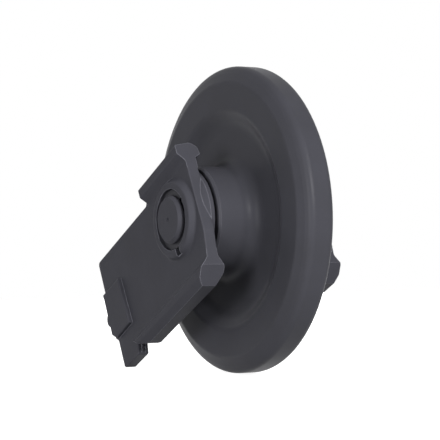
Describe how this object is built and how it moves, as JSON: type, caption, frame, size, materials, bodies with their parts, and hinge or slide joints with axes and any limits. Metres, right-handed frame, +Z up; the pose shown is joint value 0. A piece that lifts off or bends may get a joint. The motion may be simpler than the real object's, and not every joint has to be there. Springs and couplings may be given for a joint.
{
  "type": "track front idler",
  "caption": "Plain steel idler wheel for a rubber track, dished both sides, turning on a fixed shaft carried by two slide brackets.",
  "frame": {"origin": "centre of the wheel, on the axle's centre line and the rim's mid plane", "axes": "+Y along the axle towards the oil plug's end, +Z up, +X towards the brackets' heads"},
  "size_m": [0.3637, 0.1871, 0.34],
  "materials": {
    "wheel_coating": "satin charcoal coating on cast steel",
    "bracket_coating": "satin charcoal coating on forged steel",
    "shaft_coating": "satin charcoal coating on turned steel",
    "bronze": "turned bronze",
    "seal_iron": "lapped cast iron",
    "seal_rubber": "matt nitrile rubber",
    "spring_steel": "blackened spring steel",
    "plug_steel": "zinc plated steel",
    "copper": "soft copper"
  },
  "bodies": {
    "carrier": {"axle_shaft": "shaft_coating", "near_bracket": "bracket_coating", "far_bracket": "bracket_coating", "near_fixed_seal_ring": "seal_iron", "far_fixed_seal_ring": "seal_iron", "near_fixed_toric": "seal_rubber", "far_fixed_toric": "seal_rubber", "near_shaft_oring": "seal_rubber", "far_shaft_oring": "seal_rubber", "near_retaining_ring": "spring_steel", "far_retaining_ring": "spring_steel", "near_lock_pin": "spring_steel", "far_lock_pin": "spring_steel", "oil_plug": "plug_steel", "plug_washer": "copper"},
    "wheel": {"idler_wheel": "wheel_coating", "near_bush": "bronze", "far_bush": "bronze", "near_rotating_seal_ring": "seal_iron", "far_rotating_seal_ring": "seal_iron", "near_rotating_toric": "seal_rubber", "far_rotating_toric": "seal_rubber"}
  },
  "joints": [
    {"name": "wheel_spin", "type": "hinge", "parent": "carrier", "child": "wheel", "pos_m": [0, 0, 0], "axis": [0, 1, 0], "continuous": true}
  ]
}
